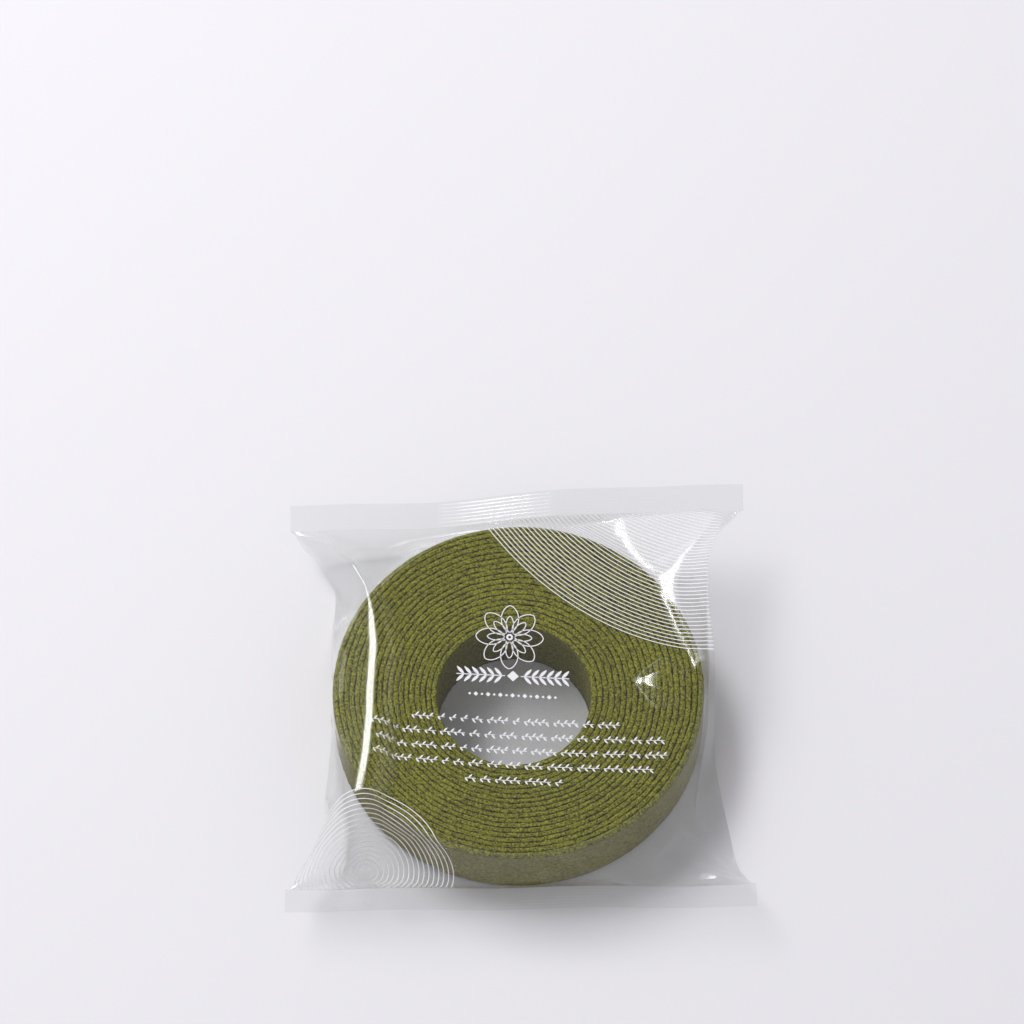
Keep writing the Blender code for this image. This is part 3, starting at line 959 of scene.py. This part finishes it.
def crevices(nodes, fine, streaks):
    """Where the cut face is painted dark: in the thin wandering seams between layers, by their browner bake
    and by painted shade in the crevice, and in its pores, by painted shade.
    """
    wander = nodes.maths("MULTIPLY", nodes.maths("SUBTRACT", streaks, 0.5), SEAM_WANDER)
    from_seam = nodes.maths("ADD", nodes.maths("PINGPONG", nodes.attribute("layer"), 0.5), wander)
    aside = nodes.maths("DIVIDE", from_seam, SEAM_HALF_WIDTH)
    seam = nodes.maths("SUBTRACT", 1.0, aside, clamp=True)
    seam = nodes.maths("MULTIPLY", seam, nodes.attribute("broken"))
    seam = nodes.maths("MULTIPLY", seam, SEAM_BAKE_AND_SHADE_STRENGTH, clamp=True)
    pores = nodes.maths("SUBTRACT", PORES_BELOW, fine)
    pores = nodes.maths("MULTIPLY", pores, PORE_SHADE_STRENGTH, clamp=True)
    return nodes.maths("MAXIMUM", seam, pores)


def cake_material():
    """Green crumb: puffs with a painted highlight, seams dark from a browner bake and painted shade, pores
    of painted shade, and smoother skin on the walls.
    """
    nodes = Nodes(bpy.data.materials.new("matcha_crumb"))
    coords = nodes.add("ShaderNodeTexCoord").outputs["Object"]
    fine = nodes.grains(FINE_GRAIN, coords)
    clumps = nodes.grains(CLUMP_GRAIN, coords)
    patches = nodes.grains(PATCH_GRAIN, coords)
    streaks = nodes.grains(STREAK_GRAIN, round_the_ring(nodes, coords))
    # Painted highlight: the crumb is made lighter where its puffs raise the relief.
    puffs = nodes.maths("MULTIPLY", nodes.attribute("crumb"), PUFF_HIGHLIGHT_TONE)
    tone = nodes.maths("ADD", puffs, nodes.maths("MULTIPLY", streaks, STREAK_TONE))
    tone = nodes.maths("ADD", tone, nodes.maths("MULTIPLY", fine, FINE_TONE))
    # Painted shade is laid over the crumb in the seams' crevices and in the pores, together with the seams'
    # browner bake.
    face = nodes.blend(crevices(nodes, fine, streaks), nodes.ramp(tone, CRUMB_COLOURS), CREVICE_BAKE_AND_SHADE_COLOUR)
    mottling = nodes.maths("ADD", nodes.maths("MULTIPLY", clumps, 0.5), nodes.maths("MULTIPLY", fine, 0.5))
    colour = nodes.blend(nodes.attribute("skin"), face, nodes.ramp(mottling, SKIN_COLOURS))
    colour = nodes.blend(1.0, colour, nodes.ramp(patches, PATCH_SHADES), "MULTIPLY")
    height = nodes.maths("ADD", nodes.maths("MULTIPLY", fine, 0.4), nodes.maths("MULTIPLY", clumps, 0.6))
    bump = nodes.bump(height, *CRUMB_BUMP)
    return nodes.finish(nodes.surface(colour, 0.85, bump, specular=0.2))


# Studio


def make_floor():
    """A plain pale floor."""
    nodes = Nodes(bpy.data.materials.new("pale_floor"))
    material = nodes.finish(nodes.surface(FLOOR_COLOUR, 0.9, specular=0.1))
    corners = [(x * FLOOR_SIZE, y * FLOOR_SIZE, 0) for x, y in ((-1, -1), (1, -1), (1, 1), (-1, 1))]
    floor = make_object("floor", corners, [[0, 1, 2, 3]], material, smooth=False)


def make_key_light():
    """The key light's boxes, each one a little further back than the smaller one inside it."""
    flat = math.cos(KEY_ELEVATION)
    way = Vector((-math.sin(KEY_AZIMUTH) * flat, math.cos(KEY_AZIMUTH) * flat, math.sin(KEY_ELEVATION)))
    lean = Quaternion((0, 0, -1), KEY_LEAN)
    for number, (name, width, length, power) in enumerate(KEY_BOXES):
        data = bpy.data.lights.new(name, "AREA")
        data.shape = "RECTANGLE"
        data.size = width * MM
        data.size_y = length * MM
        data.energy = power
        light = bpy.data.objects.new(name, data)
        light.location = way * (KEY_DISTANCE + KEY_SPACING * number) * MM
        light.rotation_euler = (way.to_track_quat("Z", "Y") @ lean).to_euler()
        bpy.context.scene.collection.objects.link(light)


def make_world():
    """Even soft light from all round, with a dim patch where flat film mirrors it to the camera."""
    world = bpy.data.worlds.new("studio")
    bpy.context.scene.world = world
    nodes = Nodes(world)
    toward = nodes.add("ShaderNodeVectorMath", operation="DOT_PRODUCT")
    nodes.feed(toward.inputs[0], nodes.add("ShaderNodeTexCoord").outputs["Generated"])
    nodes.feed(toward.inputs[1], (0, math.cos(CAMERA_ELEVATION), math.sin(CAMERA_ELEVATION)))
    glow = nodes.add("ShaderNodeBackground", Strength=1.0)
    nodes.feed(glow.inputs["Color"], nodes.ramp(toward.outputs["Value"], SKY_COLOURS))
    nodes.finish(glow.outputs[0], "ShaderNodeOutputWorld")


def make_camera():
    """The photograph's camera."""
    data = bpy.data.cameras.new("camera")
    data.sensor_width = SENSOR
    data.lens = PHOTO_FOCAL * SENSOR / PHOTO_SIZE
    data.clip_end = 100
    camera = bpy.data.objects.new("camera", data)
    back = Vector((0, -math.cos(CAMERA_ELEVATION), math.sin(CAMERA_ELEVATION)))
    camera.location = (Vector(CAMERA_AIM) + back * CAMERA_DISTANCE) * MM
    tilt = Euler((math.pi / 2 - CAMERA_ELEVATION, 0, 0)).to_matrix()
    roll = Euler((0, 0, CAMERA_ROLL)).to_matrix()
    camera.rotation_euler = (tilt @ roll).to_euler()
    bpy.context.scene.collection.objects.link(camera)
    bpy.context.scene.camera = camera


def main():
    bpy.context.scene.view_settings.view_transform = "Standard"
    make_camera()
    make_world()
    make_key_light()
    make_floor()
    film = make_film()
    ink = print_material()
    pieces = (
        (make_bag(film, film_material()), "film"),
        (make_cake(cake_material()), "cake"),
        (make_print(film, "corner_arcs", corner_arcs(), ink), "print"),
        (make_print(film, "middle_ornament", middle_ornament(), ink), "print"),
    )
    for piece, slot in pieces:
        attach(piece, "root")
        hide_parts(NODE)


main()
